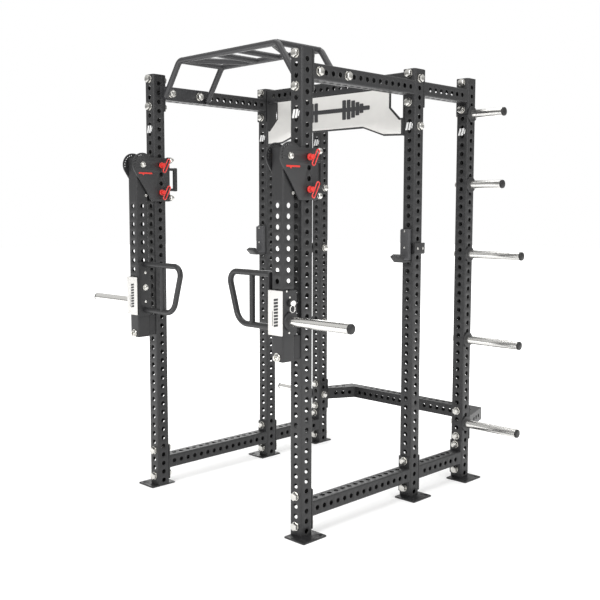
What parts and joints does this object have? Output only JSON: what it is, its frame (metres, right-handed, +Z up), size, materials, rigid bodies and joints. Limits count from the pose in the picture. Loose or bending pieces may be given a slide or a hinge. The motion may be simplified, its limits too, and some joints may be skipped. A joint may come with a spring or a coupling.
{
  "type": "power cage",
  "caption": "Six-post perforated steel power cage with swinging lever arms, multi-grip pull-up bars, J-cups, plate storage pegs and a rear stabiliser.",
  "frame": {"origin": "on the floor, under the middle of the object's bounding box", "axes": "+Z up; -Y is the front where the lever arms hang; +X is to the right when the front is looked at"},
  "size_m": [2.01, 1.8224, 2.4072],
  "materials": {
    "frame_coat": "fine textured powder coat",
    "bracket_coat": "fine textured powder coat",
    "bar_coat": "satin powder coat",
    "banner_coat": "satin",
    "light_sheet": "satin",
    "dark_print": "satin",
    "zinc": "bright zinc plate",
    "label": "gloss",
    "chrome": "polished",
    "black_cap": "smooth",
    "liner": "smooth",
    "red_mark": "gloss",
    "red_pin": "gloss",
    "bush": "satin",
    "pad": "matt"
  },
  "bodies": {
    "cage": {"upright_front_left": "frame_coat", "upright_front_right": "frame_coat", "upright_middle_left": "frame_coat", "upright_middle_right": "frame_coat", "upright_rear_left": "frame_coat", "upright_rear_right": "frame_coat", "top_beam_front_left": "frame_coat", "top_beam_front_right": "frame_coat", "top_beam_rear_left": "frame_coat", "top_beam_rear_right": "frame_coat", "base_beam_front_left": "frame_coat", "base_beam_front_right": "frame_coat", "base_beam_rear_left": "frame_coat", "base_beam_rear_right": "frame_coat", "foot_plates": "frame_coat", "banner_crossmember": "frame_coat", "rear_stabiliser": "frame_coat", "peg_bases": "frame_coat", "banner_panel": "banner_coat", "banner_face": "light_sheet", "banner_emblem": "dark_print", "pull_up_frame": "bar_coat", "frame_bolts": "zinc", "frame_washers": "zinc", "frame_nuts": "zinc", "carriage_bolts": "zinc", "pivot_bolts": "zinc", "upright_labels": "label", "storage_pegs": "chrome", "peg_caps": "black_cap", "carriage_left": "bracket_coat", "carriage_right": "bracket_coat", "carriage_liners": "liner", "arrow_marks": "red_mark"},
    "arm_left": {"arm_tube_left": "bracket_coat", "arm_bushes_left": "bush", "arm_pad_left": "pad", "arm_hardware_left": "zinc", "arm_sleeve_left": "bracket_coat", "face_plate_left": "light_sheet", "weight_horn_left": "chrome", "horn_cap_left": "black_cap"},
    "sleeve_pull_left": {"sleeve_pin_left": "chrome"},
    "jcup_left": {"jcup_bracket_left": "bracket_coat", "jcup_liner_left": "liner"},
    "lock_upper_left": {"lock_pin_upper_left": "red_pin"},
    "lock_lower_left": {"lock_pin_lower_left": "red_pin"},
    "arm_right": {"arm_tube_right": "bracket_coat", "arm_bushes_right": "bush", "arm_pad_right": "pad", "arm_hardware_right": "zinc", "arm_sleeve_right": "bracket_coat", "face_plate_right": "light_sheet", "weight_horn_right": "chrome", "horn_cap_right": "black_cap"},
    "sleeve_pull_right": {"sleeve_pin_right": "chrome"},
    "jcup_right": {"jcup_bracket_right": "bracket_coat", "jcup_liner_right": "liner"},
    "lock_upper_right": {"lock_pin_upper_right": "red_pin"},
    "lock_lower_right": {"lock_pin_lower_right": "red_pin"}
  },
  "joints": [
    {"name": "arm_swing_left", "type": "hinge", "parent": "cage", "child": "arm_left", "pos_m": [-0.575, -0.84625, 1.833], "axis": [-1, 0, 0], "range_deg": [0, 120]},
    {"name": "sleeve_pin_pull_left", "type": "slide", "parent": "arm_left", "child": "sleeve_pull_left", "axis": [-1, 0, 0], "range_m": [0, 0.024], "stiffness_N_per_m": 900, "springref_m": -0.012},
    {"name": "jcup_draw_left", "type": "slide", "parent": "cage", "child": "jcup_left", "axis": [0, -1, 0], "range_m": [0, 0.05]},
    {"name": "lock_pin_pull_upper_left", "type": "slide", "parent": "cage", "child": "lock_upper_left", "axis": [1, 0, 0], "range_m": [0, 0.018], "stiffness_N_per_m": 900, "springref_m": -0.012},
    {"name": "lock_pin_pull_lower_left", "type": "slide", "parent": "cage", "child": "lock_lower_left", "axis": [1, 0, 0], "range_m": [0, 0.018], "stiffness_N_per_m": 900, "springref_m": -0.012},
    {"name": "arm_swing_right", "type": "hinge", "parent": "cage", "child": "arm_right", "pos_m": [0.575, -0.84625, 1.833], "axis": [-1, 0, 0], "range_deg": [0, 120]},
    {"name": "sleeve_pin_pull_right", "type": "slide", "parent": "arm_right", "child": "sleeve_pull_right", "axis": [1, 0, 0], "range_m": [0, 0.024], "stiffness_N_per_m": 900, "springref_m": -0.012},
    {"name": "jcup_draw_right", "type": "slide", "parent": "cage", "child": "jcup_right", "axis": [0, -1, 0], "range_m": [0, 0.05]},
    {"name": "lock_pin_pull_upper_right", "type": "slide", "parent": "cage", "child": "lock_upper_right", "axis": [1, 0, 0], "range_m": [0, 0.018], "stiffness_N_per_m": 900, "springref_m": -0.012},
    {"name": "lock_pin_pull_lower_right", "type": "slide", "parent": "cage", "child": "lock_lower_right", "axis": [1, 0, 0], "range_m": [0, 0.018], "stiffness_N_per_m": 900, "springref_m": -0.012}
  ]
}
